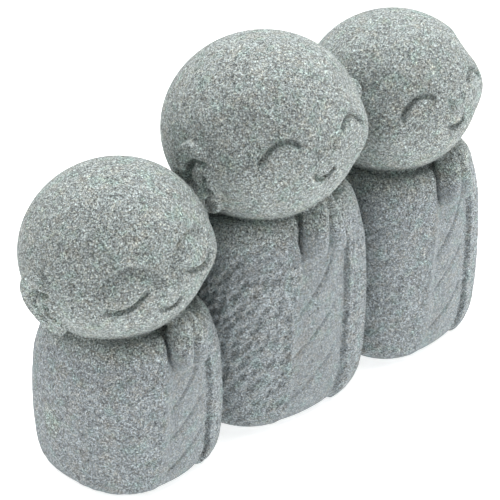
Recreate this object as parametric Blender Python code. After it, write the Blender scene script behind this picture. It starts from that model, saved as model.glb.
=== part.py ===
"""Three child-monk figures of cast stone, standing shoulder to shoulder as one casting.

Metres, +Z up. The origin is on the ground under the middle figure, and the figures face -Y.
Each figure is a robe and a round head with its hands pressed together. The forms are shaped
one by one, fused into a single skin, thinned to few faces and cut flat underneath.
"""

from dataclasses import dataclass
from math import pi, radians

import bmesh
import bpy
import numpy as np
from mathutils import Matrix, Vector

# Casting
NECK_SINK = 0.0075  # how far each robe runs up into its head
BASE_SPARE = 0.003  # stone below the ground, cut away to leave a flat base
SKIN_CELL = 0.0008  # fineness of the fused skin
SKIN_SOFTENING = 3  # rounds of smoothing over the fused skin
SKIN_FACES = 9300  # triangles kept in the finished solid
MIDWAY_FACES = 30000  # triangles kept in the first of the two thinnings
FOLDED = radians(95)  # two faces that meet more sharply than this were folded by the thinning
UNFOLDING = 20  # rounds of evening out such faces

# Robe, in plan and in height
PLAN_SQUARENESS = 2.53  # 2 is an ellipse, more is squarer
ROBE_PROFILE = (  # (share of robe height, share of full width)
    (0.00, 0.80),
    (0.03, 0.88),
    (0.08, 0.94),
    (0.16, 0.975),
    (0.30, 0.995),
    (0.45, 1.00),
    (0.60, 0.99),
    (0.75, 0.965),
    (0.88, 0.90),
    (0.96, 0.84),
    (1.00, 0.76),
)
ROBE_TOP = ((1.05, 0.5), (1.08, 0))  # where it closes, inside the head
ROBE_UNDERCUT = 0.08  # how much narrower it gets below the ground, as a share
ROBE_SEGMENTS = 260
ROBE_RINGS = 170

# Open front of the robe: (share of half-width, share of robe height) up its edges and lines.
# Right and left are the figure's own.
PANEL_RIGHT_DEPTH = 0.0016  # step from the robe's right front edge back to the inner robe
PANEL_LEFT_DEPTH = 0.0025  # the same at its left front edge
PANEL_REACH = 0.3  # cosine of the angle from the front within which it is as deep as it gets
PANEL_SHARES = (0.3, 0.6)  # share of the robe's half-width over which the top closes the front
PANEL_BELLY = 0.0010  # how much the inner robe swells between those edges
PANEL_EDGE = 0.0018  # width of the step
PANEL_SOFT_EDGE = 0.0060  # width of the right step, below the collar
COLLAR_DEPTH = 0.0045  # how much deeper the step is beside the hands
COLLAR_START = 0.78  # share of robe height from which it deepens
COLLAR_FULL = 0.92  # share of robe height from which it is deepest
RIGHT_FRONT_EDGE = (
    (-0.41, -0.1), (-0.40, 0.06), (-0.356, 0.205), (-0.335, 0.40), (-0.296, 0.608),
    (-0.21, 0.813), (-0.165, 0.93), (-0.125, 1.08),
)
LEFT_FRONT_EDGE = (
    (0.34, -0.1), (0.34, 0.07), (0.395, 0.171), (0.415, 0.383), (0.43, 0.584),
    (0.445, 0.726), (0.425, 0.85), (0.30, 1.08),
)
GROOVE = (
    (0.27, 0.03), (0.355, 0.171), (0.382, 0.383), (0.40, 0.584), (0.41, 0.70), (0.395, 0.84),
    (0.33, 0.99),
)
GROOVE_WIDTH = 0.0036
GROOVE_DEPTH = 0.0013
GROOVE_LEAN = -0.4  # where a line is deepest, from -1 at one edge to 1 at the other
FOLD_LINES = (
    ((0.23, 0.80), (0.176, 0.756), (0.093, 0.699), (-0.076, 0.615), (-0.28, 0.53)),
    ((0.25, 0.56), (0.178, 0.521), (0.038, 0.466), (-0.158, 0.394), (-0.35, 0.335)),
    ((0.26, 0.345), (0.191, 0.304), (0.08, 0.257), (-0.136, 0.186), (-0.39, 0.12)),
)
FOLD_WIDTH = 0.0026
FOLD_DEPTH = 0.0011
FOLD_LEAN = 0.5
LINE_TAPER = 0.1  # share of a line's length over which each end dies away

# Hands pressed together, as shares of the robe's half-width
HAND_SIZE = (0.112, 0.205, 0.335)
HAND_SPREAD = 0.086
HAND_CENTRE = (0.112, -0.060)  # to the left of the middle, and forward of the robe's front
HAND_HEIGHT = 0.945  # share of robe height
HAND_FRONT = 0.90  # share of the robe's half-depth where that front is, so high up
HAND_TURN = 2  # degrees that each hand's back faces outwards
HAND_LEAN = 8  # degrees that each hand leans in at the fingertips
HAND_SQUARENESS = 2.5  # 2 is an egg, more is squarer at the wrists
HAND_NARROWING = 0.30  # how much thinner the fingertips are, and thicker the wrists

# Head carving, in degrees of azimuth from the nose and of height above the head's middle
SMILING_EYE = ((14.0, -1.2), (18.0, 2.6), (24.5, 4.6), (31.5, 2.0), (36.5, -2.4), (40.5, -7.2))
SLEEPING_EYE = ((13.2, -2.2), (18.5, -7.2), (25.5, -10.8), (32.5, -11.4), (38.0, -9.2), (42.0, -6.0))
SOCKET_ARCH = ((7.5, -6.0), (8.5, -0.5), (12.5, 5.0), (19.0, 8.8), (27.5, 8.8), (35.0, 5.0), (41.0, -2.5))
MOUTH = ((-8.6, -19.8), (-5.0, -23.6), (0.0, -25.2), (5.0, -23.8), (8.8, -19.4))
EYE_WIDTH = 0.0036
EYE_DEPTH = 0.0026
EYE_LEAN = 0.1
MOUTH_WIDTH = 0.0034
MOUTH_DEPTH = 0.0026
SOCKET_WIDTH = 0.0100
SOCKET_DEPTH = 0.0028
SOCKET_LEAN = 0.6
CHEEK = (50, -13, 26, 22)  # azimuth, height, reach sideways, reach upwards
TEMPLE = (46, 16, 22, 15)
NOSE = (0, -8, 11, 8)
CHEEK_RELIEF = 0.0022
TEMPLE_RELIEF = -0.0017
NOSE_RELIEF = 0.0014
HEAD_SEGMENTS = 320
HEAD_RINGS = 200

# Ears: offsets from the ear's middle as shares of half the head's width, forward and up
EAR_OUTLINE = (
    (0.23, 0.22), (0.167, 0.329), (0.086, 0.393), (-0.016, 0.406), (-0.128, 0.342),
    (-0.20, 0.240), (-0.24, 0.10), (-0.23, -0.05), (-0.185, -0.20), (-0.115, -0.32),
    (-0.03, -0.385), (0.08, -0.36), (0.15, -0.25),
)
EAR_FOLD = (
    (0.18, 0.165), (0.12, 0.212), (0.045, 0.210), (-0.025, 0.165), (-0.062, 0.080),
    (-0.062, -0.02), (-0.045, -0.123), (0.0, -0.225),
)
EAR_SHELL = ((0.135, 0.095), (0.092, 0.03), (0.082, -0.04), (0.112, -0.09), (0.16, -0.10))
EAR_REACH = 0.7  # no part of the ear is farther from its middle than this
EAR_FRONT = (0.28, 0.12)  # over this stretch its front comes up out of the cheek
EAR_RELIEF = 0.0020
EAR_EDGE = 0.0008  # half the width of the step up to the ear
EAR_RIM_WIDTH = 0.0120
EAR_RIM_RELIEF = 0.0018
EAR_LINE_LEAN = -0.3
EAR_RIM_TAPER = 0.12
EAR_FOLD_TAPER = 0.12
EAR_SHELL_TAPER = 0.16
EAR_FOLD_WIDTH = 0.0042
EAR_FOLD_DEPTH = 0.0038
EAR_SHELL_WIDTH = 0.0038
EAR_SHELL_DEPTH = 0.0042

STONE_COLOUR = (0.27, 0.30, 0.29, 1.0)
STONE_ROUGHNESS = 0.92


@dataclass(frozen=True)
class Figure:
    """One child monk. Lengths are in metres and angles in degrees."""

    side: int  # -1 at the row's left end seen from the front, 0 in the middle, 1 at the right end
    height: float
    robe_width: float
    robe_depth: float
    head_width: float
    head_depth: float
    head_height: float
    turn: float  # of the robe, towards the row's right end
    head_turn: float
    head_raise: float
    head_tilt: float
    head_shift: tuple
    ear_middle: tuple  # azimuth from the nose, and height above the head's middle
    join: float  # how far the robe runs into the middle figure's
    asleep: bool

    @property
    def robe_height(self):
        return self.height - self.head_height + NECK_SINK

    @property
    def place(self):
        """Middle of the base, in the row."""
        if not self.side:
            return Vector((0, 0, 0))
        return Vector((self.side * ((self.robe_width + MIDDLE.robe_width) / 2 - self.join), 0, 0))

    @property
    def head_place(self):
        return self.place + Vector((*self.head_shift, self.height - self.head_height / 2))


MIDDLE = Figure(
    side=0, height=0.170, robe_width=0.0900, robe_depth=0.0687,
    head_width=0.0851, head_depth=0.0850, head_height=0.0792,
    turn=-1.7, head_turn=-3.9, head_raise=13.9, head_tilt=-2.5,
    head_shift=(-0.0032, 0.0003), ear_middle=(79.5, -13.5), join=0, asleep=False,
)
LOW = Figure(
    side=-1, height=0.1366, robe_width=0.0756, robe_depth=0.0728,
    head_width=0.0793, head_depth=0.0784, head_height=0.0728,
    turn=4.6, head_turn=-5.5, head_raise=6.9, head_tilt=-11.4,
    head_shift=(-0.0032, 0.0016), ear_middle=(84.5, -8.0), join=0.0046, asleep=True,
)
HIGH = Figure(
    side=1, height=0.1562, robe_width=0.0795, robe_depth=0.0623,
    head_width=0.0764, head_depth=0.0806, head_height=0.0724,
    turn=5.8, head_turn=1.9, head_raise=19.5, head_tilt=-4.3,
    head_shift=(-0.0033, 0.0044), ear_middle=(87, -8), join=0.0057, asleep=False,
)


def smooth(low, high, value):
    """0 below low, 1 above high and an S-curve between them."""
    t = np.clip((value - low) / (high - low), 0, 1)
    return t * t * (3 - 2 * t)


def mound(x, y, reach_x, reach_y):
    """A soft round bump, 1 in its middle and 0 at its reach."""
    return smooth(1, 0, np.hypot(x / reach_x, y / reach_y))


def spline(points, steps=8):
    """A smooth curve through the points (Catmull-Rom)."""
    p = np.array(points, float)
    p = np.vstack([2 * p[0] - p[1], p, 2 * p[-1] - p[-2]])
    t = np.linspace(0, 1, steps, endpoint=False)[:, None]
    runs = [
        0.5 * (2 * b + (c - a) * t + (2 * a - 5 * b + 4 * c - d) * t**2 + (3 * b - a - 3 * c + d) * t**3)
        for a, b, c, d in zip(p, p[1:], p[2:], p[3:])
    ]
    return np.vstack([*runs, p[-2]])


def beside(path, x, y):
    """(signed distance, share along) of each point from the path; left of its run is positive."""
    start, end = path[:-1], path[1:]
    run = end - start
    offset = np.stack([x, y], -1)[:, None] - start
    t = np.clip((offset * run).sum(-1) / (run**2).sum(-1), 0, 1)
    away = offset - t[..., None] * run
    nearest = np.argmin((away**2).sum(-1), axis=1)
    row = np.arange(len(x))
    near_away, near_run = away[row, nearest], run[nearest]
    cross = near_run[:, 0] * near_away[:, 1] - near_run[:, 1] * near_away[:, 0]
    return np.copysign(np.hypot(*near_away.T), cross), (nearest + t[row, nearest]) / len(run)


def stroke(path, x, y, width, lean=0.0, taper=0.2):
    """A carved line's section along the path: 1 at its deepest, 0 at its edges and its ends."""
    depth = np.zeros(len(x))
    reach = width
    low, high = path.min(0) - reach, path.max(0) + reach
    near = np.flatnonzero((x > low[0]) & (x < high[0]) & (y > low[1]) & (y < high[1]))
    if not len(near):
        return depth
    away, along = beside(path, x[near], y[near])
    across = away / (width / 2)
    section = np.where(across > lean, (1 - across) / (1 - lean), (1 + across) / (1 + lean))
    ends = smooth(0, taper, along) * smooth(1, 1 - taper, along) if taper else 1
    depth[near] = smooth(0, 1, section) * ends
    return depth


def plan_radius(angle):
    """The robe's outline in plan, as a share of its half-width and half-depth."""
    across, forward = abs(np.sin(angle)), abs(np.cos(angle))
    return (across**PLAN_SQUARENESS + forward**PLAN_SQUARENESS) ** (-1 / PLAN_SQUARENESS)


def round_grid(segments, rings):
    """A ball's vertices, as angle round from the front and share from bottom to top, and its faces."""
    angles = np.linspace(-pi, pi, segments, endpoint=False)
    around = np.r_[0, np.tile(angles, rings - 1), 0]
    upward = np.r_[0, np.repeat(np.arange(1, rings) / rings, segments), 1]
    here, top = np.arange(segments), len(around) - 1
    there = (here + 1) % segments
    faces = []
    for ring in range(1, top - segments, segments):
        faces += (np.stack([here, there, there + segments, here + segments], -1) + ring).tolist()
    faces += [(0, b + 1, a + 1) for a, b in zip(here.tolist(), there.tolist())]
    faces += [(top, top - segments + a, top - segments + b) for a, b in zip(here.tolist(), there.tolist())]
    return around, upward, faces


def posed(points, pose):
    """The points moved by the matrix."""
    pose = np.array(pose)
    return points @ pose[:3, :3].T + pose[:3, 3]


def robe(figure):
    """The robe, with its open front, the inner robe's folds and a rounded hem."""
    around, upward, faces = round_grid(ROBE_SEGMENTS, ROBE_RINGS)
    height, half_width, half_depth = figure.robe_height, figure.robe_width / 2, figure.robe_depth / 2
    spare = BASE_SPARE / height
    section = spline([(-spare, ROBE_PROFILE[0][1] - ROBE_UNDERCUT), *ROBE_PROFILE])
    section = np.vstack([(-spare, 0), section, *ROBE_TOP])
    run = np.r_[0, np.cumsum(np.hypot(*np.diff(section, axis=0).T))]
    up = np.interp(upward * run[-1], run, section[:, 0])
    share = np.interp(upward * run[-1], run, section[:, 1])
    radius = plan_radius(around) * share
    x = half_width * radius * np.sin(around)
    y = -half_depth * radius * np.cos(around)
    facing = smooth(0, PANEL_REACH, np.cos(around)) * smooth(*PANEL_SHARES, share)
    y += facing * open_front(x, up * height, half_width, height)
    pose = Matrix.Translation(figure.place) @ Matrix.Rotation(radians(figure.turn), 4, "Z")
    return posed(np.stack([x, y, up * height], -1), pose), faces


def open_front(x, z, half_width, height):
    """How far the front goes back at each place, from the robe's edges to the inner robe."""
    edges = (RIGHT_FRONT_EDGE, LEFT_FRONT_EDGE)
    right, left = (half_width * np.interp(z / height, *spline(edge)[:, ::-1].T) for edge in edges)
    collar = smooth(COLLAR_START, COLLAR_FULL, z / height)
    right_step = PANEL_SOFT_EDGE + (PANEL_EDGE - PANEL_SOFT_EDGE) * collar
    inside = smooth(0, 1, (x - right) / right_step) * smooth(0, PANEL_EDGE, left - x)
    across = np.clip((x - right) / (left - right), 0, 1)
    level = PANEL_RIGHT_DEPTH + (PANEL_LEFT_DEPTH - PANEL_RIGHT_DEPTH) * across
    depth = inside * (level - PANEL_BELLY * 4 * across * (1 - across) + COLLAR_DEPTH * collar)
    for line in FOLD_LINES:
        path = spline(line) * (half_width, height)
        depth += inside * FOLD_DEPTH * stroke(path, x, z, FOLD_WIDTH, FOLD_LEAN, LINE_TAPER)
    groove = spline(GROOVE) * (half_width, height)
    return depth + GROOVE_DEPTH * stroke(groove, x, z, GROOVE_WIDTH, GROOVE_LEAN, LINE_TAPER)


def hand(figure, side):
    """One of the two hands pressed together under the chin."""
    around, upward, faces = round_grid(48, 32)
    half_width = figure.robe_width / 2
    middle, forward = HAND_CENTRE
    up = -np.cos(upward * pi)
    across = (1 - abs(up) ** HAND_SQUARENESS) ** (1 / HAND_SQUARENESS) * (1 - HAND_NARROWING * up)
    points = np.stack([across * np.sin(around), -across * np.cos(around), up], -1) * HAND_SIZE * half_width
    place = Vector((
        half_width * (middle + side * HAND_SPREAD),
        -figure.robe_depth / 2 * HAND_FRONT - half_width * forward,
        figure.robe_height * HAND_HEIGHT,
    ))
    pose = (
        Matrix.Translation(figure.place)
        @ Matrix.Rotation(radians(figure.turn), 4, "Z")
        @ Matrix.Translation(place)
        @ Matrix.Rotation(radians(side * HAND_TURN), 4, "Z")
        @ Matrix.Rotation(radians(-side * HAND_LEAN), 4, "Y")
    )
    return posed(points, pose), faces


def face_relief(figure, azimuth, height, degree):
    """Relief of the face at each place, outwards from the head. degree is its length on the surface."""
    relief = np.zeros(len(azimuth))
    aside = abs(azimuth)
    for (at, up, reach, rise), out in ((CHEEK, CHEEK_RELIEF), (TEMPLE, TEMPLE_RELIEF), (NOSE, NOSE_RELIEF)):
        relief += out * mound((aside if at else azimuth) - at, height - up, reach, rise)
    x, y = aside * degree, height * degree
    eye = spline(np.array(SLEEPING_EYE if figure.asleep else SMILING_EYE) * degree)
    relief -= EYE_DEPTH * stroke(eye, x, y, EYE_WIDTH, -EYE_LEAN if figure.asleep else EYE_LEAN)
    if figure.asleep:
        arch = spline(np.array(SOCKET_ARCH) * degree)
        relief -= SOCKET_DEPTH * stroke(arch, x, y, SOCKET_WIDTH, SOCKET_LEAN)
    mouth = spline(np.array(MOUTH) * degree)
    relief -= MOUTH_DEPTH * stroke(mouth, azimuth * degree, y, MOUTH_WIDTH)
    return relief


def ear_relief(figure, azimuth, height, degree):
    """Relief of both ears at each place, outwards from the head. degree is its length on the surface."""
    at, up = figure.ear_middle
    half_width = figure.head_width / 2
    x = (at - abs(azimuth)) * degree * np.cos(np.radians(height))
    y = (height - up) * degree
    outline, fold, shell = (spline(np.array(run) * half_width) for run in (EAR_OUTLINE, EAR_FOLD, EAR_SHELL))
    near = np.flatnonzero(np.hypot(x, y) < EAR_REACH * half_width)
    x, y = x[near], y[near]
    away, _ = beside(np.vstack([outline, outline[:1]]), x, y)
    rim = EAR_RIM_RELIEF * stroke(outline, x, y, EAR_RIM_WIDTH, taper=EAR_RIM_TAPER)
    local = (EAR_RELIEF + rim) * smooth(-EAR_EDGE, EAR_EDGE, away) * smooth(*EAR_FRONT, x / half_width)
    local -= EAR_FOLD_DEPTH * stroke(fold, x, y, EAR_FOLD_WIDTH, EAR_LINE_LEAN, EAR_FOLD_TAPER)
    local -= EAR_SHELL_DEPTH * stroke(shell, x, y, EAR_SHELL_WIDTH, EAR_LINE_LEAN, EAR_SHELL_TAPER)
    relief = np.zeros(len(azimuth))
    relief[near] = local
    return relief


def head(figure):
    """The round head, with the face and the ears in relief."""
    around, upward, faces = round_grid(HEAD_SEGMENTS, HEAD_RINGS)
    half = np.array([figure.head_width, figure.head_depth, figure.head_height]) / 2
    flat = np.sin(upward * pi)
    direction = np.stack([flat * np.sin(around), -flat * np.cos(around), -np.cos(upward * pi)], -1)
    azimuth, height = np.degrees(around), upward * 180 - 90
    degree = half[0] * pi / 180
    skin = direction / np.linalg.norm(direction / half, axis=1)[:, None]
    relief = face_relief(figure, azimuth, height, degree) + ear_relief(figure, azimuth, height, degree)
    pose = (
        Matrix.Translation(figure.head_place)
        @ Matrix.Rotation(radians(figure.head_turn), 4, "Z")
        @ Matrix.Rotation(radians(-figure.head_raise), 4, "X")
        @ Matrix.Rotation(radians(figure.head_tilt), 4, "Y")
    )
    return posed(skin + direction * relief[:, None], pose), faces


def shaped(body):
    """Gives the object the mesh that its modifiers make, and clears them."""
    graph = bpy.context.evaluated_depsgraph_get()
    body.data = bpy.data.meshes.new_from_object(body.evaluated_get(graph))
    body.modifiers.clear()


def fused(name, forms):
    """One object whose skin runs over all the forms, thinned to few faces."""
    points, faces = [], []
    for form_points, form_faces in forms:
        first = len(points)
        points += form_points.tolist()
        faces += [[first + corner for corner in face] for face in form_faces]
    mesh = bpy.data.meshes.new(name)
    mesh.from_pydata(points, [], faces)
    body = bpy.data.objects.new(name, mesh)
    bpy.context.scene.collection.objects.link(body)
    skin = body.modifiers.new("skin", "REMESH")
    skin.mode = "VOXEL"
    skin.voxel_size = SKIN_CELL
    soften = body.modifiers.new("soften", "SMOOTH")
    soften.iterations = SKIN_SOFTENING
    shaped(body)
    thin = body.modifiers.new("thin", "DECIMATE")
    thin.ratio = MIDWAY_FACES / (2 * len(body.data.polygons))
    body.modifiers.new("even", "SMOOTH")
    thinner = body.modifiers.new("thinner", "DECIMATE")
    thinner.ratio = SKIN_FACES / MIDWAY_FACES
    shaped(body)
    return body


def unfold(body):
    """Evens out the few faces that the thinning folded over."""
    skin = bmesh.new()
    skin.from_mesh(body.data)
    for _ in range(UNFOLDING):
        folded = {corner for edge in skin.edges if edge.calc_face_angle(0) > FOLDED for corner in edge.verts}
        bmesh.ops.smooth_vert(
            skin, verts=list(folded), factor=0.5, use_axis_x=True, use_axis_y=True, use_axis_z=True
        )
    skin.to_mesh(body.data)
    skin.free()


def cut_flat(body):
    """Cuts the stone flat at the ground."""
    stone = bmesh.new()
    stone.from_mesh(body.data)
    bmesh.ops.bisect_plane(
        stone, geom=[*stone.verts, *stone.edges, *stone.faces], dist=1e-5,
        plane_co=(0, 0, 0), plane_no=(0, 0, -1), clear_outer=True,
    )
    rim = [edge for edge in stone.edges if edge.is_boundary]
    base = bmesh.ops.holes_fill(stone, edges=rim, sides=0)["faces"]
    bmesh.ops.triangulate(stone, faces=base)
    bmesh.ops.recalc_face_normals(stone, faces=stone.faces)
    stone.to_mesh(body.data)
    stone.free()


def stone():
    material = bpy.data.materials.new("cast_stone")
    material.use_nodes = True
    shader = material.node_tree.nodes["Principled BSDF"]
    shader.inputs["Base Color"].default_value = STONE_COLOUR
    shader.inputs["Roughness"].default_value = STONE_ROUGHNESS
    shader.inputs["Metallic"].default_value = 0.0
    return material


def main():
    for old in list(bpy.data.objects):
        bpy.data.objects.remove(old)
    forms = []
    for figure in (LOW, MIDDLE, HIGH):
        forms += [robe(figure), head(figure), hand(figure, -1), hand(figure, 1)]
    trio = fused("jizo_trio", forms)
    unfold(trio)
    cut_flat(trio)
    trio.data.materials.clear()
    trio.data.materials.append(stone())
    trio.data.shade_smooth()


main()
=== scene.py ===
"""Three child monks of speckled cast stone, standing shoulder to shoulder as one casting.

Metres, +Z up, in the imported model's frame: the origin is on the ground under the middle
figure, and the figures face -Y. Each form starts as a primitive and is carved by moving its
vertices. All of them are then fused into one skin, which is softened, dented on the robes and
cut off flat at the ground.
"""

import logging
from dataclasses import dataclass
from enum import Enum
from math import cos, pi, radians, sin
from typing import Any, Callable, Optional, Sequence, Union

import bpy
import numpy as np
from mathutils import Matrix, Vector, noise


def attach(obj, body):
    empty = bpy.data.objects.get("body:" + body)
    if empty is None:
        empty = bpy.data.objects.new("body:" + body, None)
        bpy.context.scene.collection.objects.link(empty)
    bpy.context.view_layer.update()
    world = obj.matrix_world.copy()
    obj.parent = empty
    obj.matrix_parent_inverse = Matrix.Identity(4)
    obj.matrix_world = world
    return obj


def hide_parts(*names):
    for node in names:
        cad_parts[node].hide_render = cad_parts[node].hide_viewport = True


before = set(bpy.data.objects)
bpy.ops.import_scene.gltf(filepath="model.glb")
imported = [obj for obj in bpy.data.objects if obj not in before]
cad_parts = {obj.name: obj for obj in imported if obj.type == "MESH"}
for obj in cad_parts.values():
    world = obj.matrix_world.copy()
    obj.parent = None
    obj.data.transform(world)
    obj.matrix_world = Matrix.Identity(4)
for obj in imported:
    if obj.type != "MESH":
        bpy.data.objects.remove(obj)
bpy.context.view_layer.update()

LOG = logging.getLogger("jizo_trio")
NODE = "jizo_trio"
BODY = "root"
CLOTH = "cloth"
LEVEL_RISE = 1e-6  # an edge of a cylinder that rises less than this lies in a ring
SMALLEST = 1e-9  # keeps a divisor off 0
WHITE = (1.0, 1.0, 1.0, 1.0)
MIX_SHARE, MIX_FIRST, MIX_SECOND, MIX_RESULT = 0, 6, 7, 2  # a Mix node's sockets for colours

Array = np.ndarray
Run = Sequence[tuple[float, float]]
Colour = tuple[float, float, float, float]
Owner = Union[bpy.types.Material, bpy.types.World]


def smooth(low: float, high: float, value: Array) -> Array:
    """An S-curve from 0 to 1.

    Args:
        low: value at which it leaves 0.
        high: value at which it reaches 1.
        value: where it is read.

    Returns:
        The curve at each value.
    """
    t = np.clip((value - low) / (high - low), 0, 1)
    return t * t * (3 - 2 * t)


def spline(points: Run, steps: int = 10) -> Array:
    """A smooth curve through points (Catmull-Rom).

    Args:
        points: the points, in order.
        steps: points worked out for each stretch.

    Returns:
        The curve's points, one row each.
    """
    p = np.array(points, float)
    p = np.vstack([2 * p[0] - p[1], p, 2 * p[-1] - p[-2]])
    t = np.linspace(0, 1, steps, endpoint=False)[:, None]
    runs = [
        0.5 * (2 * b + (c - a) * t + (2 * a - 5 * b + 4 * c - d) * t**2 + (3 * b - a - 3 * c + d) * t**3)
        for a, b, c, d in zip(p, p[1:], p[2:], p[3:])
    ]
    return np.vstack([*runs, p[-2]])


def beside(path: Array, x: Array, y: Array) -> tuple[Array, Array]:
    """Where points lie from a path.

    Args:
        path: the path's points, one row each.
        x: the points' first coordinate.
        y: the points' second coordinate.

    Returns:
        The signed distance, positive to the left of the run, and the share along the path.
    """
    start, run = path[:-1], np.diff(path, axis=0)
    offset = np.stack([x, y], -1)[:, None] - start
    t = np.clip((offset * run).sum(-1) / (run**2).sum(-1), 0, 1)
    away = offset - t[..., None] * run
    nearest = np.argmin((away**2).sum(-1), axis=1)
    row = np.arange(len(x))
    away, run = away[row, nearest], run[nearest]
    cross = run[:, 0] * away[:, 1] - run[:, 1] * away[:, 0]
    return np.copysign(np.hypot(*away.T), cross), (nearest + t[row, nearest]) / (len(path) - 1)


def vertices(body: bpy.types.Object) -> Array:
    """Reads a mesh.

    Args:
        body: the mesh's object.

    Returns:
        Its vertices, one row each.
    """
    flat = np.empty(3 * len(body.data.vertices))
    body.data.vertices.foreach_get("co", flat)
    return flat.reshape(-1, 3)


def sculpt(body: bpy.types.Object, points: Array) -> None:
    """Moves the object's vertices to the points, one row each."""
    body.data.vertices.foreach_set("co", points.ravel())
    body.data.update()


def primitive(add: Callable[..., Any], **sizes: Any) -> bpy.types.Object:
    """A new primitive, with nothing else selected.

    Args:
        add: the operator that adds it.
        sizes: the operator's own options.

    Returns:
        The new object.
    """
    bpy.ops.object.select_all(action="DESELECT")
    add(**sizes)
    return bpy.context.object


def finish(body: bpy.types.Object, kind: str, **options: Any) -> None:
    """Adds a modifier to the object and applies it.

    Args:
        body: the object.
        kind: the modifier's type.
        options: the modifier's own options.
    """
    modifier = body.modifiers.new(kind.lower(), kind)
    for name, value in options.items():
        setattr(modifier, name, value)
    bpy.context.view_layer.objects.active = body
    bpy.ops.object.modifier_apply(modifier=modifier.name)


@dataclass(frozen=True)
class Mound:
    """A soft swelling on the head, or a hollow where its relief is negative."""

    azimuth: float
    height: float
    reach: float
    rise: float
    relief: float

    def raised(self, azimuth: Array, height: Array) -> Array:
        """The swelling, in metres, at places given in degrees.

        Args:
            azimuth: degrees from the nose.
            height: degrees above the head's middle.

        Returns:
            The height of the swelling at each place.
        """
        far = np.hypot((azimuth - self.azimuth) / self.reach, (height - self.height) / self.rise)
        return self.relief * smooth(1, 0, far)


@dataclass(frozen=True)
class Cut:
    """A line cut with a carving tool, or a ridge where its depth is negative.

    Its points are in the carver's own unit, its width and depth in metres. lean, from -1 to 1,
    moves the deepest line towards the left of the run. taper is the share of the length over
    which each end fades, and wall the share of the half-width that a side takes.
    """

    points: Run
    width: float
    depth: float
    lean: float = 0.0
    taper: float = 0.2
    wall: float = 1.0

    def relief(self, x: Array, y: Array, unit: Union[float, Array] = 1.0) -> Array:
        """The depth of the cut.

        Args:
            x: the places' first coordinate, in metres.
            y: the places' second coordinate, in metres.
            unit: metres in one unit of the cut's points, for both coordinates or each.

        Returns:
            The depth at each place, in metres.
        """
        path = spline(self.points) * unit
        depth = np.zeros(len(x))
        low, high = path.min(0) - self.width, path.max(0) + self.width
        near = np.flatnonzero((x > low[0]) & (x < high[0]) & (y > low[1]) & (y < high[1]))
        if len(near):
            away, along = beside(path, x[near], y[near])
            across = away / (self.width / 2)
            lean = self.lean
            section = np.where(across > lean, (1 - across) / (1 - lean), (1 + across) / (1 + lean))
            ends = smooth(0, self.taper, along) * smooth(1, 1 - self.taper, along) if self.taper else 1
            depth[near] = self.depth * smooth(0, self.wall, section) * ends
        return depth


class Mood(Enum):
    """The look on a face: the cut of its eyelids and, for the sleeping one, of its sockets."""

    SMILING = (
        Cut(
            ((14.0, -1.2), (18.0, 2.6), (24.5, 4.6), (31.5, 2.0), (36.5, -2.4), (40.5, -7.2)),
            width=0.0030, depth=0.0027, lean=0.1, taper=0.1, wall=0.45,
        ),
        None,
    )
    ASLEEP = (
        Cut(
            ((13.2, -2.2), (18.5, -7.2), (25.5, -10.8), (32.5, -11.4), (38.0, -9.2), (42.0, -6.0)),
            width=0.0030, depth=0.0027, lean=-0.1, taper=0.1, wall=0.45,
        ),
        Cut(
            ((7.5, -6.0), (8.5, -0.5), (12.5, 5.0), (19.0, 8.8), (27.5, 8.8), (35.0, 5.0), (41.0, -2.5)),
            width=0.0100, depth=0.0030, lean=0.7,
        ),
    )

    @property
    def cuts(self) -> list[Cut]:
        """The cuts that both halves of the face share."""
        return [cut for cut in self.value if cut]


@dataclass(frozen=True)
class Ear:
    """An ear in low relief, with a raised rim, a fold inside it and a hollow shell.

    Its middle is in degrees from the nose and above the head's middle. Its points, its reach and
    the stretch over which its front comes up out of the cheek are shares of half the head's
    width, forward and up. Its widths and depths are in metres.
    """

    azimuth: float = 79.5
    height: float = -13.5
    outline: Run = (
        (0.23, 0.22), (0.167, 0.329), (0.086, 0.393), (-0.016, 0.406), (-0.128, 0.342), (-0.20, 0.240),
        (-0.24, 0.10), (-0.23, -0.05), (-0.185, -0.20), (-0.115, -0.32), (-0.03, -0.385), (0.08, -0.36),
        (0.15, -0.25),
    )
    relief: float = 0.0020
    edge: float = 0.0006
    rim_width: float = 0.0120
    rim_relief: float = 0.0018
    rim_taper: float = 0.06
    reach: float = 0.7
    front: tuple[float, float] = (0.28, 0.12)
    fold: Cut = Cut(
        ((0.18, 0.165), (0.12, 0.212), (0.045, 0.210), (-0.025, 0.165), (-0.062, 0.080),
         (-0.062, -0.02), (-0.045, -0.123), (0.0, -0.225)),
        width=0.0042, depth=0.0040, lean=-0.35, taper=0.12, wall=0.8,
    )
    shell: Cut = Cut(
        ((0.135, 0.095), (0.092, 0.03), (0.082, -0.04), (0.112, -0.09), (0.16, -0.10)),
        width=0.0038, depth=0.0046, lean=-0.35, taper=0.16, wall=0.8,
    )

    def raised(self, azimuth: Array, height: Array, half_width: float) -> Array:
        """The relief of both ears.

        Args:
            azimuth: degrees from the nose.
            height: degrees above the head's middle.
            half_width: half the head's width.

        Returns:
            The relief at each place, outwards.
        """
        degree = half_width * pi / 180
        x = (self.azimuth - abs(azimuth)) * degree * np.cos(np.radians(height))
        y = (height - self.height) * degree
        near = np.flatnonzero(np.hypot(x, y) < self.reach * half_width)
        x, y = x[near], y[near]
        outline = spline(self.outline) * half_width
        away, _ = beside(np.vstack([outline, outline[:1]]), x, y)
        rim = Cut(self.outline, self.rim_width, self.rim_relief, taper=self.rim_taper)
        local = (self.relief + rim.relief(x, y, half_width)) * smooth(-self.edge, self.edge, away)
        local *= smooth(*self.front, x / half_width)
        for line in (self.fold, self.shell):
            local -= line.relief(x, y, half_width)
        relief = np.zeros(len(azimuth))
        relief[near] = local
        return relief


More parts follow.
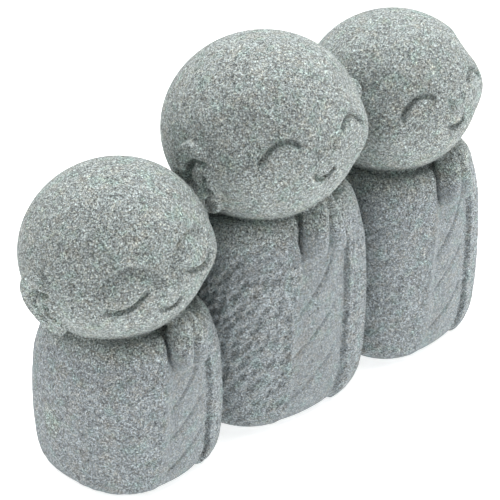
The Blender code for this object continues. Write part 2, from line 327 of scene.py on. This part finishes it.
@dataclass(frozen=True)
class Head:
    """A round head. Lengths are in metres and angles in degrees."""

    width: float
    depth: float
    height: float
    turn: float
    raised: float
    tilt: float
    shift: tuple[float, float]
    mood: Mood
    ear: Ear = Ear()
    mouth: Cut = Cut(
        ((-8.6, -19.8), (-5.0, -23.6), (0.0, -25.2), (5.0, -23.8), (8.8, -19.4)),
        width=0.0030, depth=0.0027, taper=0.1, wall=0.5,
    )
    nose_side: Cut = Cut(
        ((7.2, -2.0), (5.8, -7.0), (6.0, -12.0)),
        width=0.0032, depth=0.0016, lean=-0.3, taper=0.3,
    )
    mounds: tuple[Mound, ...] = (
        Mound(azimuth=50, height=-13, reach=26, rise=22, relief=0.0022),
        Mound(azimuth=46, height=16, reach=22, rise=15, relief=-0.0017),
    )
    nose: Mound = Mound(azimuth=0, height=-8, reach=11, rise=8, relief=0.0014)
    fineness: int = 8

    def pose(self, place: Vector) -> Matrix:
        """The head's place and turn, with its middle at the place."""
        return (
            Matrix.Translation(place + Vector((*self.shift, 0)))
            @ Matrix.Rotation(radians(self.turn), 4, "Z")
            @ Matrix.Rotation(radians(-self.raised), 4, "X")
            @ Matrix.Rotation(radians(self.tilt), 4, "Y")
        )

    def relief(self, direction: Array) -> Array:
        """The carving of the face and the ears.

        Args:
            direction: directions out of the head's middle, one row each.

        Returns:
            How far the carving stands out in each direction.
        """
        azimuth = np.degrees(np.arctan2(direction[:, 0], -direction[:, 1]))
        height = np.degrees(np.arcsin(np.clip(direction[:, 2], -1, 1)))
        aside, degree = abs(azimuth), self.width / 2 * pi / 180
        relief = self.nose.raised(azimuth, height)
        for mound in self.mounds:
            relief += mound.raised(aside, height)
        for cut in (*self.mood.cuts, self.nose_side):
            relief -= cut.relief(aside * degree, height * degree, degree)
        relief -= self.mouth.relief(azimuth * degree, height * degree, degree)
        return relief + self.ear.raised(azimuth, height, self.width / 2)

    def model(self, place: Vector) -> bpy.types.Object:
        """Shapes the head from a ball.

        Args:
            place: the height and place of its middle before it is shifted.

        Returns:
            The head, with its place in its mesh.
        """
        body = primitive(bpy.ops.mesh.primitive_ico_sphere_add, subdivisions=self.fineness, radius=1)
        direction = vertices(body)
        direction /= np.linalg.norm(direction, axis=1)[:, None]
        half = np.array([self.width, self.depth, self.height]) / 2
        skin = direction / np.linalg.norm(direction / half, axis=1)[:, None]
        sculpt(body, skin + direction * self.relief(direction)[:, None])
        body.data.transform(self.pose(place))
        return body


@dataclass(frozen=True)
class OpenFront:
    """The robe's open front, where the inner robe shows between two edges.

    Its lines are shares of the robe's half-width and height, its depths metres.
    """

    right_edge: Run = (
        (-0.41, -0.1), (-0.40, 0.06), (-0.356, 0.205), (-0.335, 0.40), (-0.296, 0.608),
        (-0.21, 0.813), (-0.165, 0.93), (-0.125, 1.08),
    )
    left_edge: Run = (
        (0.34, -0.1), (0.34, 0.07), (0.395, 0.171), (0.415, 0.383), (0.43, 0.584),
        (0.445, 0.726), (0.425, 0.85), (0.30, 1.08),
    )
    right_depth: float = 0.0016
    left_depth: float = 0.0023
    belly: float = 0.0010
    edge: float = 0.0014
    soft_edge: float = 0.0060
    collar: float = 0.0045
    collar_span: tuple[float, float] = (0.78, 0.92)
    groove: Cut = Cut(
        ((0.27, 0.03), (0.355, 0.171), (0.382, 0.383), (0.40, 0.584), (0.41, 0.70), (0.395, 0.84),
         (0.33, 0.99)),
        width=0.0030, depth=0.0012, lean=-0.4, taper=0.1,
    )
    ridge: Cut = Cut(
        ((-0.375, 0.12), (-0.335, 0.40), (-0.296, 0.608), (-0.21, 0.80)),
        width=0.0060, depth=-0.0007, taper=0.3,
    )
    folds: tuple[Run, ...] = (
        ((0.23, 0.80), (0.176, 0.756), (0.093, 0.699), (-0.076, 0.615), (-0.28, 0.53)),
        ((0.25, 0.56), (0.178, 0.521), (0.038, 0.466), (-0.158, 0.394), (-0.35, 0.335)),
        ((0.26, 0.345), (0.191, 0.304), (0.08, 0.257), (-0.136, 0.186), (-0.39, 0.12)),
    )
    fold_width: float = 0.0022
    fold_depth: float = 0.0012
    fold_lean: float = 0.5
    fold_taper: float = 0.1

    def edges(self, up: Array) -> tuple[Array, Array]:
        """Where the front's two edges run.

        Args:
            up: heights, as shares of the robe's.

        Returns:
            The right and the left edge at each height, as shares of the robe's half-width.
        """
        runs = (spline(edge) for edge in (self.right_edge, self.left_edge))
        right, left = (np.interp(up, run[:, 1], run[:, 0]) for run in runs)
        return right, left

    def hollow(self, x: Array, up: Array, half_width: float, height: float) -> Array:
        """How far the front goes back.

        Args:
            x: places across the robe.
            up: their height, as a share of the robe's.
            half_width: half the robe's width.
            height: the robe's height.

        Returns:
            The depth of the front at each place.
        """
        right, left = (edge * half_width for edge in self.edges(up))
        unit = np.array([half_width, height])
        open_collar = smooth(*self.collar_span, up)
        right_step = self.soft_edge + (self.edge - self.soft_edge) * open_collar
        inside = smooth(0, 1, (x - right) / right_step) * smooth(0, self.edge, left - x)
        across = np.clip((x - right) / (left - right), 0, 1)
        level = self.right_depth + (self.left_depth - self.right_depth) * across
        depth = inside * (level - self.belly * 4 * across * (1 - across) + self.collar * open_collar)
        for line in self.folds:
            fold = Cut(line, self.fold_width, self.fold_depth, self.fold_lean, self.fold_taper)
            depth += inside * fold.relief(x, up * height, unit)
        for cut in (self.groove, self.ridge):
            depth += cut.relief(x, up * height, unit)
        return depth


@dataclass(frozen=True)
class Hands:
    """Two hands pressed together under the chin.

    Lengths are shares of the robe's half-width, but height is a share of its height and front of
    its half-depth. turn and lean are in degrees. narrowing is how much thinner the fingertips
    are than the middle, and how much thicker the wrists.
    """

    size: tuple[float, float, float] = (0.112, 0.205, 0.335)
    spread: float = 0.086
    middle: float = 0.112
    forward: float = -0.060
    height: float = 0.945
    turn: float = 2.0
    lean: float = 8.0
    squareness: float = 2.5
    narrowing: float = 0.30
    front: float = 0.90
    fineness: int = 6

    def model(self, robe: "Robe", pose: Matrix) -> list[bpy.types.Object]:
        """Shapes each hand from a ball.

        Args:
            robe: the robe that they lie on.
            pose: the robe's place and turn.

        Returns:
            The two hands, with their places in their meshes.
        """
        half = robe.width / 2
        pair = []
        for side in (-1, 1):
            body = primitive(bpy.ops.mesh.primitive_ico_sphere_add, subdivisions=self.fineness, radius=1)
            ball = vertices(body)
            up = np.clip(ball[:, 2], -1, 1)
            level = np.maximum(np.hypot(ball[:, 0], ball[:, 1]), SMALLEST)
            across = (1 - abs(up) ** self.squareness) ** (1 / self.squareness)
            across = across * (1 - self.narrowing * up)
            ball[:, :2] *= (across / level)[:, None]
            sculpt(body, ball * np.array(self.size) * half)
            place = (
                half * (self.middle + side * self.spread),
                -robe.depth / 2 * self.front - half * self.forward,
                robe.height * self.height,
            )
            body.data.transform(
                pose
                @ Matrix.Translation(place)
                @ Matrix.Rotation(radians(side * self.turn), 4, "Z")
                @ Matrix.Rotation(radians(-side * self.lean), 4, "Y")
            )
            pair.append(body)
        return pair


@dataclass(frozen=True)
class Robe:
    """A robe down to the ground, squarish in plan, with a rounded hem.

    It reaches down by spare, in metres, below the ground, and narrows there by undercut. Its
    profile holds shares of its height and of its full width. front_reach is the cosine of the
    angle within which its front is as deep as it gets.
    """

    width: float
    depth: float
    height: float
    turn: float
    squareness: float = 2.53
    spare: float = 0.003
    undercut: float = 0.08
    front_reach: float = 0.3
    profile: Run = (
        (0.00, 0.80), (0.03, 0.88), (0.08, 0.94), (0.16, 0.975), (0.30, 0.995), (0.45, 1.00),
        (0.60, 0.99), (0.75, 0.965), (0.88, 0.90), (0.96, 0.84), (1.00, 0.76),
    )
    front: OpenFront = OpenFront()
    segments: int = 520
    rings: int = 100

    def pose(self, place: Vector) -> Matrix:
        """The robe's place and turn, with its base at the place."""
        return Matrix.Translation(place) @ Matrix.Rotation(radians(self.turn), 4, "Z")

    def model(self, place: Vector) -> bpy.types.Object:
        """Shapes the robe from a cylinder.

        Args:
            place: the middle of its base.

        Returns:
            The robe, with its place in its mesh.
        """
        body = primitive(
            bpy.ops.mesh.primitive_cylinder_add,
            vertices=self.segments, radius=1, depth=1, end_fill_type="NGON",
        )
        for cuts in (1, self.rings):
            self.ring(body, cuts)
        tube = vertices(body)
        spare = self.spare / self.height
        section = spline([(-spare, self.profile[0][1] - self.undercut), *self.profile])
        run = np.r_[0, np.cumsum(np.hypot(*np.diff(section, axis=0).T))]
        along = (tube[:, 2] + 0.5) * run[-1]
        up, share = (np.interp(along, run, part) for part in section.T)
        around = np.arctan2(tube[:, 0], -tube[:, 1])
        side, ahead = np.sin(around), np.cos(around)
        share *= (abs(side) ** self.squareness + abs(ahead) ** self.squareness) ** (-1 / self.squareness)
        x = self.width / 2 * share * side
        y = -self.depth / 2 * share * ahead
        facing = smooth(0, self.front_reach, ahead)
        y += facing * self.front.hollow(x, up, self.width / 2, self.height)
        sculpt(body, np.stack([x, y, up * self.height], -1))
        body.data.transform(self.pose(place))
        return body

    def ring(self, body: bpy.types.Object, cuts: int) -> None:
        """Cuts rings round the cylinder.

        Args:
            body: the cylinder.
            cuts: rings cut in each stretch of its side.
        """
        bpy.ops.object.mode_set(mode="EDIT")
        bpy.ops.mesh.select_mode(type="EDGE")
        bpy.ops.mesh.select_all(action="DESELECT")
        bpy.ops.object.mode_set(mode="OBJECT")
        heights = vertices(body)[:, 2]
        ends = np.empty(2 * len(body.data.edges), int)
        body.data.edges.foreach_get("vertices", ends)
        rise = abs(np.diff(heights[ends.reshape(-1, 2)], axis=1)).ravel()
        body.data.edges.foreach_set("select", rise > LEVEL_RISE)
        bpy.ops.object.mode_set(mode="EDIT")
        bpy.ops.mesh.subdivide(number_cuts=cuts)
        bpy.ops.object.mode_set(mode="OBJECT")


@dataclass(frozen=True)
class Figure:
    """One child monk: a robe, a head sunk on it and two hands."""

    name: str
    height: float
    robe: Robe
    head: Head
    hammering: float
    hands: Hands = Hands()

    def model(self, place: Vector) -> list[bpy.types.Object]:
        """Shapes the figure's forms, each on its own.

        Args:
            place: the middle of its base.

        Returns:
            The robe, the head and the hands.
        """
        middle = place + Vector((0, 0, self.height - self.head.height / 2))
        forms = [self.robe.model(place), self.head.model(middle)]
        forms += self.hands.model(self.robe, self.robe.pose(place))
        LOG.info("%s: %d forms", self.name, len(forms))
        return forms


@dataclass(frozen=True)
class Trio:
    """The casting: a low, a tall and a medium figure fused in a row.

    Lengths are in metres. The hammering and the cloth fade over shares of a robe's height, and
    the cloth ends over head_reach, in shares of a head's own size.
    """

    neck: float = 0.0075
    low_join: float = 0.0046
    high_join: float = 0.0057
    cell: float = 0.0005
    softening: int = 2
    triangles: int = 196000
    panel_hammering: float = 0.25
    panel_blend: float = 0.004
    outer_cloth: float = 0.5
    hammered_top: tuple[float, float] = (1.0, 0.8)
    hammered_foot: tuple[float, float] = (0.0, 0.05)
    cloth_top: tuple[float, float] = (1.0, 0.85)
    head_reach: tuple[float, float] = (1.02, 1.10)

    @property
    def figures(self) -> list[tuple[Figure, Vector]]:
        """The row of figures.

        Returns:
            The low, the tall and the medium figure, each with the middle of its base.
        """
        middle = self.figure(
            "middle figure", height=0.1700, width=0.0900, depth=0.0687, turn=-1.7, hammering=1.0,
            head=Head(
                width=0.0851, depth=0.0850, height=0.0792, turn=-3.9, raised=13.9, tilt=-2.5,
                shift=(-0.0032, 0.0003), mood=Mood.SMILING,
            ),
        )
        low = self.figure(
            "low figure", height=0.1366, width=0.0756, depth=0.0728, turn=4.6, hammering=0.4,
            head=Head(
                width=0.0793, depth=0.0784, height=0.0728, turn=-5.5, raised=6.9, tilt=-11.4,
                shift=(-0.0032, 0.0016), mood=Mood.ASLEEP, ear=Ear(84.5, -8.0),
            ),
        )
        high = self.figure(
            "medium figure", height=0.1562, width=0.0795, depth=0.0623, turn=5.8, hammering=0.5,
            head=Head(
                width=0.0764, depth=0.0806, height=0.0724, turn=1.9, raised=19.5, tilt=-4.3,
                shift=(-0.0033, 0.0044), mood=Mood.SMILING, ear=Ear(87.0, -8.0),
            ),
        )
        left = -(middle.robe.width + low.robe.width) / 2 + self.low_join
        right = (middle.robe.width + high.robe.width) / 2 - self.high_join
        return [(low, Vector((left, 0, 0))), (middle, Vector((0, 0, 0))), (high, Vector((right, 0, 0)))]

    def figure(
        self, name: str, height: float, width: float, depth: float, turn: float, hammering: float,
        head: Head,
    ) -> Figure:
        """A figure whose robe reaches up into its head.

        Args:
            name: what it is called in the log.
            height: from the ground to the top of its head.
            width: of its robe.
            depth: of its robe.
            turn: of its robe, in degrees.
            hammering: how strongly its robe is hammered.
            head: its head.

        Returns:
            The figure.
        """
        robe = Robe(width, depth, height - head.height + self.neck, turn)
        return Figure(name, height, robe, head, hammering)

    def model(self) -> bpy.types.Object:
        """Fuses the figures into one skin, with a flat base.

        Returns:
            The casting, with its place in its mesh.
        """
        forms = [form for figure, place in self.figures for form in figure.model(place)]
        bpy.ops.object.select_all(action="DESELECT")
        for form in forms:
            form.select_set(True)
        bpy.context.view_layer.objects.active = forms[0]
        bpy.ops.object.join()
        casting = bpy.context.object
        casting.name = casting.data.name = "stone_trio"
        finish(casting, "REMESH", mode="VOXEL", voxel_size=self.cell)
        finish(casting, "SMOOTH", iterations=self.softening)
        LOG.info("fused skin: %d faces", len(casting.data.polygons))
        self.hammer(casting)
        finish(casting, "DECIMATE", ratio=self.triangles / (2 * len(casting.data.polygons)))
        self.flatten(casting)
        self.mark_cloth(casting)
        casting.data.shade_smooth()
        return casting

    def robed(self, points: Array) -> list[tuple[Figure, Array, Array, Array]]:
        """Sorts places on the casting by the figure whose robe they lie on.

        Args:
            points: places on the stone, one row each.

        Returns:
            Each figure, with the numbers of its places below its neck, their height as a share of
            its robe's, and how far they are on its inner robe, from 0 to 1.
        """
        sorted_places = []
        for figure, place in self.figures:
            half = figure.robe.width / 2
            reach = (points[:, 0] > place.x - half) & (points[:, 0] <= place.x + half)
            near = np.flatnonzero(reach & (points[:, 2] < figure.robe.height))
            up = points[near, 2] / figure.robe.height
            right, left = (edge * half + place.x for edge in figure.robe.front.edges(up))
            x = points[near, 0]
            panel = smooth(0, self.panel_blend, x - right) * smooth(0, self.panel_blend, left - x)
            panel *= points[near, 1] < 0
            sorted_places.append((figure, near, up, panel))
        return sorted_places

    def hammer(self, casting: bpy.types.Object) -> None:
        """Dents the robes as a bush hammer does.

        Args:
            casting: the fused figures.
        """
        points = vertices(casting)
        normals = np.empty(points.size)
        casting.data.vertices.foreach_get("normal", normals)
        dent = Dents()
        depth = np.zeros(len(points))
        for figure, near, up, panel in self.robed(points):
            weight = smooth(*self.hammered_top, up) * smooth(*self.hammered_foot, up)
            weight *= (1 - panel * (1 - self.panel_hammering)) * figure.hammering
            depth[near] = weight * dent.depth(points[near])
        sculpt(casting, points - normals.reshape(-1, 3) * depth[:, None])

    def mark_cloth(self, casting: bpy.types.Object) -> None:
        """Marks the robes for the finish: 0 on the heads, part on outer robes, 1 on inner ones.

        Args:
            casting: the fused figures.
        """
        points = vertices(casting)
        cloth = np.zeros(len(points))
        for figure, near, up, panel in self.robed(points):
            share = self.outer_cloth + (1 - self.outer_cloth) * panel
            cloth[near] = share * smooth(*self.cloth_top, up)
        for figure, place in self.figures:
            middle = place + Vector((*figure.head.shift, figure.height - figure.head.height / 2))
            size = np.array([figure.head.width, figure.head.depth, figure.head.height]) / 2
            away = np.linalg.norm((points - np.array(middle)) / size, axis=1)
            cloth *= smooth(*self.head_reach, away)
        casting.data.attributes.new(CLOTH, "FLOAT", "POINT").data.foreach_set("value", cloth)

    def flatten(self, casting: bpy.types.Object) -> None:
        """Cuts the casting off flat at the ground.

        Args:
            casting: the fused figures, which are the active object.
        """
        bpy.ops.object.mode_set(mode="EDIT")
        bpy.ops.mesh.select_all(action="SELECT")
        bpy.ops.mesh.bisect(plane_co=(0, 0, 0), plane_no=(0, 0, 1), use_fill=True, clear_inner=True)
        bpy.ops.mesh.select_all(action="SELECT")
        bpy.ops.mesh.quads_convert_to_tris()
        bpy.ops.mesh.normals_make_consistent(inside=False)
        bpy.ops.object.mode_set(mode="OBJECT")


@dataclass(frozen=True)
class Dents:
    """Shallow dents, longer along one direction than across it.

    A dent starts at its rim and is deepest within its bottom, both shares of the spacing.
    """

    spacing: float = 0.0036
    deep: float = 0.0013
    along: tuple[float, float, float] = (0.5, -0.5, 0.7)
    stretch: float = 1.8
    rim: float = 0.65
    bottom: float = 0.1

    def depth(self, points: Array) -> Array:
        """The depth of the dents.

        Args:
            points: places on the stone, one row each.

        Returns:
            The depth at each place.
        """
        along = Vector(self.along).normalized()
        squeeze = Matrix.Scale(1 / self.stretch, 3, along) * (1 / self.spacing)
        placed = points @ np.array(squeeze).T
        near = np.array([noise.voronoi(point)[0][0] for point in placed.tolist()])
        return self.deep * smooth(self.rim, self.bottom, near)


class Value:
    """A node's output socket, with the arithmetic that the finishes use."""

    def __init__(self, shader: "Shader", socket: bpy.types.NodeSocket) -> None:
        """Wraps the socket."""
        self.shader = shader
        self.socket = socket

    def math(self, operation: str, first: Any, second: Any) -> "Value":
        """A Math node's result.

        Args:
            operation: the node's operation.
            first: a value or a number.
            second: a value or a number.

        Returns:
            The result.
        """
        node = self.shader.node("ShaderNodeMath", {"operation": operation}, {0: first, 1: second})
        return Value(self.shader, node.outputs[0])

    def __add__(self, other: Any) -> "Value":
        """self + other."""
        return self.math("ADD", self, other)

    def __sub__(self, other: Any) -> "Value":
        """self - other."""
        return self.math("SUBTRACT", self, other)

    def __rsub__(self, other: Any) -> "Value":
        """other - self."""
        return self.math("SUBTRACT", other, self)

    def __mul__(self, other: Any) -> "Value":
        """self * other."""
        return self.math("MULTIPLY", self, other)

    __radd__ = __add__
    __rmul__ = __mul__


class Shader:
    """A material's or a world's nodes, made one after the other."""

    def __init__(self, owner: Owner, surface: str = "Principled BSDF") -> None:
        """Starts the nodes.

        Args:
            owner: the new material or world.
            surface: the node that it comes with.
        """
        owner.use_nodes = True
        self.owner = owner
        self.tree = owner.node_tree
        self.surface = self.tree.nodes[surface]

    def wire(self, socket: bpy.types.NodeSocket, value: Any) -> None:
        """Links a value to a socket, or sets a number or colour on it.

        Args:
            socket: a node's input.
            value: a value, a number or a colour.
        """
        if isinstance(value, Value):
            self.tree.links.new(value.socket, socket)
        else:
            socket.default_value = value

    def node(
        self, kind: str, settings: Optional[dict[str, Any]] = None, sockets: Optional[dict[Any, Any]] = None
    ) -> bpy.types.Node:
        """Adds a node.

        Args:
            kind: its type.
            settings: its properties, with stops for a ramp's (place, colour) pairs.
            sockets: what goes into its inputs, by name or number.

        Returns:
            The node.
        """
        node = self.tree.nodes.new(kind)
        for name, value in (settings or {}).items():
            if name == "stops":
                elements = node.color_ramp.elements
                while len(elements) < len(value):
                    elements.new(1)
                for element, (place, colour) in zip(elements, value):
                    element.position, element.color = place, colour
            else:
                setattr(node, name, value)
        for name, value in (sockets or {}).items():
            self.wire(node.inputs[name], value)
        return node

    def out(self, node: bpy.types.Node, name: Union[str, int] = 0) -> Value:
        """One of a node's outputs."""
        return Value(self, node.outputs[name])

    def place(self) -> Value:
        """Object coordinates."""
        return self.out(self.node("ShaderNodeTexCoord"), "Object")

    def attribute(self, name: str) -> Value:
        """A value that the mesh carries at its vertices."""
        return self.out(self.node("ShaderNodeAttribute", {"attribute_name": name}), "Fac")

    def cells(self, place: Value, size: float, output: str) -> Value:
        """Random grains.

        Args:
            place: where they are read.
            size: of a grain, in metres.
            output: Color for a random colour in each grain, Distance for the way from its
                middle.

        Returns:
            That output.
        """
        return self.out(self.node("ShaderNodeTexVoronoi", {}, {"Vector": place, "Scale": 1 / size}), output)

    def cloud(self, place: Value, size: float, detail: float = 2.0, output: str = "Fac") -> Value:
        """Soft random patches.

        Args:
            place: where they are read.
            size: of a patch, in metres.
            detail: how many finer layers they have.
            output: Fac for a value, Color for three.

        Returns:
            That output.
        """
        sockets = {"Vector": place, "Scale": 1 / size, "Detail": detail}
        return self.out(self.node("ShaderNodeTexNoise", {}, sockets), output)

    def channel(self, colour: Value, name: str) -> Value:
        """One channel of a colour."""
        return self.out(self.node("ShaderNodeSeparateColor", {}, {0: colour}), name)

    def ramp(self, value: Value, stops: Sequence[tuple[float, Colour]]) -> Value:
        """A colour ramp read at a value."""
        return self.out(self.node("ShaderNodeValToRGB", {"stops": stops}, {0: value}), "Color")

    def mix(self, share: Any, first: Any, second: Any, blend: str = "MIX") -> Value:
        """Mixes two colours.

        Args:
            share: how much of the second shows.
            first: a colour.
            second: a colour.
            blend: the node's blending mode.

        Returns:
            The mixed colour.
        """
        settings = {"data_type": "RGBA", "blend_type": blend}
        sockets = {MIX_SHARE: share, MIX_FIRST: first, MIX_SECOND: second}
        return self.out(self.node("ShaderNodeMix", settings, sockets), MIX_RESULT)

    def span(self, value: Value, low: float, high: float) -> Value:
        """A value's share of the way from low to high, kept between 0 and 1."""
        sockets = {"Value": value, "From Min": low, "From Max": high}
        return self.out(self.node("ShaderNodeMapRange", {"interpolation_type": "SMOOTHSTEP"}, sockets))

    def bump(self, height: Value, distance: float) -> None:
        """Gives the surface a fine relief."""
        node = self.node("ShaderNodeBump", {}, {"Height": height, "Distance": distance})
        self.wire(self.surface.inputs["Normal"], self.out(node, "Normal"))


def grey(level: float) -> Colour:
    """A plain grey."""
    return (level, level, level, 1.0)


@dataclass(frozen=True)
class Wash:
    """A colour laid over the stone where a random value is high."""

    colour: Colour
    span: tuple[float, float]
    strength: float = 1.0
    blend: str = "MULTIPLY"

    def over(self, shader: Shader, under: Value, value: Value) -> Value:
        """Lays the colour over another.

        Args:
            shader: the material's nodes.
            under: the colour below.
            value: the random value, which shows the wash over its span.

        Returns:
            The colour with its wash.
        """
        share = shader.span(value, *self.span) * self.strength
        return shader.mix(share, under, self.colour, self.blend)


@dataclass(frozen=True)
class CastStone:
    """Crushed stone bound by cement: light and dark grains in a grey-green ground, rough all over.

    Sizes are in metres. calm is how far the grains fade into the cement's grey on the inner
    robes, and the spans say over what part of the cloth they fade and the tint changes.
    """

    grain: float = 0.00030
    chip: float = 0.0007
    patch: float = 0.0060
    pore: float = 0.0012
    patch_detail: float = 3.0
    pore_detail: float = 1.0
    grain_share: float = 0.66
    chip_share: float = 0.34
    stops: tuple[tuple[float, Colour], ...] = (
        (0.0, grey(0.015)), (0.22, grey(0.085)), (0.48, grey(0.26)), (0.72, grey(0.46)), (1.0, grey(1.0)),
    )
    cement: Colour = grey(0.30)
    calm: float = 0.48
    calm_span: tuple[float, float] = (0.2, 1.0)
    head_tint: Colour = (0.955, 1.075, 1.07, 1.0)
    robe_tint: Colour = (0.945, 1.06, 1.12, 1.0)
    tint_span: tuple[float, float] = (0.0, 0.5)
    green_patch: Wash = Wash((0.93, 1.03, 0.99, 1.0), (0.5, 0.7))
    warm_patch: Wash = Wash((1.05, 1.0, 0.955, 1.0), (0.5, 0.7))
    warm_chip: Wash = Wash((1.07, 1.0, 0.90, 1.0), (0.6, 0.9), 0.8)
    rust: Wash = Wash((0.32, 0.24, 0.16, 1.0), (0.975, 0.98), 0.5, "MIX")
    # painted shade: near-black inside the pores, over the same span where the bump sinks them
    pit_shade: Wash = Wash((0.04, 0.045, 0.045, 1.0), (0.69, 0.75), 0.75, "MIX")
    roughness: float = 0.92
    relief: float = 0.00020
    grain_height: float = 0.5
    chip_height: float = 0.4
    pit_depth: float = 1.2

    def material(self) -> bpy.types.Material:
        """Makes the finish.

        Returns:
            Its material.
        """
        shader = Shader(bpy.data.materials.new("cast_stone"))
        place = shader.place()
        cloth = shader.attribute(CLOTH)
        fine = shader.cells(place, self.grain, "Color")
        coarse = shader.cells(place, self.chip, "Color")
        hue = shader.cloud(place, self.patch, self.patch_detail, "Color")
        holes = shader.cloud(place, self.pore, self.pore_detail)
        chips = shader.channel(coarse, "Green")
        level = shader.channel(fine, "Red") * self.grain_share + chips * self.chip_share
        calm = shader.span(cloth, *self.calm_span) * self.calm
        colour = shader.mix(calm, shader.ramp(level, self.stops), self.cement)
        tint = shader.mix(shader.span(cloth, *self.tint_span), self.head_tint, self.robe_tint)
        colour = shader.mix(1, colour, tint, "MULTIPLY")
        for wash, value in (
            (self.green_patch, shader.channel(hue, "Red")),
            (self.warm_patch, shader.channel(hue, "Green")),
            (self.warm_chip, shader.channel(coarse, "Red")),
            (self.rust, shader.channel(fine, "Blue")),
            # the last wash is painted shade inside the pores
            (self.pit_shade, holes),
        ):
            colour = wash.over(shader, colour, value)
        shader.wire(shader.surface.inputs["Base Color"], colour)
        shader.wire(shader.surface.inputs["Roughness"], self.roughness)
        grains = 1 - shader.cells(place, self.grain, "Distance")
        # the pores' span also carries their painted shade in the colour above
        pits = shader.span(holes, *self.pit_shade.span)
        height = grains * self.grain_height + chips * self.chip_height - pits * self.pit_depth
        shader.bump(height, self.relief)
        return shader.owner


@dataclass(frozen=True)
class PaleFloor:
    """A plain white studio floor, lit from below as a light table is."""

    colour: Colour = (0.92, 0.92, 0.92, 1.0)
    mottle: float = 0.3
    darkening: float = 0.99
    roughness: float = 0.9
    glow: float = 0.72

    def material(self) -> bpy.types.Material:
        """Makes the finish.

        Returns:
            Its material.
        """
        shader = Shader(bpy.data.materials.new("pale_floor"))
        cloud = shader.cloud(shader.place(), self.mottle)
        darker = tuple(self.darkening * part for part in self.colour[:3]) + (1.0,)
        shader.wire(shader.surface.inputs["Base Color"], shader.mix(cloud, self.colour, darker))
        shader.wire(shader.surface.inputs["Roughness"], self.roughness)
        shader.wire(shader.surface.inputs["Emission Color"], self.colour)
        shader.wire(shader.surface.inputs["Emission Strength"], self.glow)
        return shader.owner


@dataclass(frozen=True)
class Lamp:
    """A soft square lamp aimed at the statue. Its angles are in degrees, its turn from the front."""

    name: str
    turn: float
    height: float
    power: float
    size: float = 1.0
    distance: float = 1.6

    def light(self, target: Vector) -> None:
        """Hangs the lamp.

        Args:
            target: what it is aimed at.
        """
        lamp = bpy.data.lights.new(self.name, "AREA")
        lamp.size = self.size
        lamp.energy = self.power
        body = bpy.data.objects.new(self.name, lamp)
        bpy.context.scene.collection.objects.link(body)
        turn, height = radians(self.turn), radians(self.height)
        away = Vector((sin(turn) * cos(height), -cos(turn) * cos(height), sin(height)))
        body.location = target + self.distance * away
        body.rotation_euler = (-away).to_track_quat("-Z", "Y").to_euler()


@dataclass(frozen=True)
class Studio:
    """The floor, the lamps and the camera, at the photograph's angle."""

    camera_place: tuple[float, float, float] = (-0.561447, -0.630495, 0.549799)
    camera_target: tuple[float, float, float] = (-0.00992, 0.0, 0.07285)
    lens: float = 162.03
    nearest: float = 0.01
    lit_target: tuple[float, float, float] = (0.0, 0.0, 0.08)
    sky_light: float = 0.10
    sky_shown: float = 0.9
    floor_size: float = 8.0
    floor_gap: float = 0.0002
    lamps: tuple[Lamp, ...] = (
        Lamp("top_lamp", 90, 70, 23.5),
        Lamp("back_lamp", 180, 55, 15.0),
        Lamp("left_lamp", 270, 42, 7.0),
        Lamp("right_lamp", 90, 22, 7.4),
        Lamp("front_lamp", 30, 8, 8.4),
    )

    def build(self) -> None:
        """Sets up the whole studio."""
        self.floor()
        self.light()
        self.shoot()

    def floor(self) -> None:
        """Lays the floor just under the statue."""
        place = (0, 0, -self.floor_gap)
        floor = primitive(bpy.ops.mesh.primitive_plane_add, size=self.floor_size, location=place)
        floor.name = "floor"
        floor.data.materials.append(PaleFloor().material())

    def light(self) -> None:
        """Hangs the lamps, under a pale sky that gives little light."""
        shader = Shader(bpy.data.worlds.new("studio"), "Background")
        seen = shader.out(shader.node("ShaderNodeLightPath"), "Is Camera Ray")
        sockets = {"Value": seen, "To Min": self.sky_light, "To Max": self.sky_shown}
        strength = shader.out(shader.node("ShaderNodeMapRange", {}, sockets), "Result")
        shader.wire(shader.surface.inputs["Color"], WHITE)
        shader.wire(shader.surface.inputs["Strength"], strength)
        bpy.context.scene.world = shader.owner
        for lamp in self.lamps:
            lamp.light(Vector(self.lit_target))

    def shoot(self) -> None:
        """Sets up the camera."""
        scene = bpy.context.scene
        camera = bpy.data.objects.new("camera", bpy.data.cameras.new("camera"))
        scene.collection.objects.link(camera)
        camera.location = self.camera_place
        aim = Vector(self.camera_target) - camera.location
        camera.rotation_euler = aim.to_track_quat("-Z", "Y").to_euler()
        camera.data.lens = self.lens
        camera.data.clip_start = self.nearest
        scene.camera = camera
        scene.view_settings.view_transform = "Standard"


def main() -> None:
    """Builds the casting, dresses it and sets up the studio."""
    logging.basicConfig(level=logging.INFO, format="%(name)s: %(message)s")
    casting = Trio().model()
    casting.data.materials.clear()
    casting.data.materials.append(CastStone().material())
    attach(casting, BODY)
    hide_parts(NODE)
    LOG.info("%s: %d triangles", casting.name, len(casting.data.polygons))
    Studio().build()


if __name__ == "__main__":
    main()
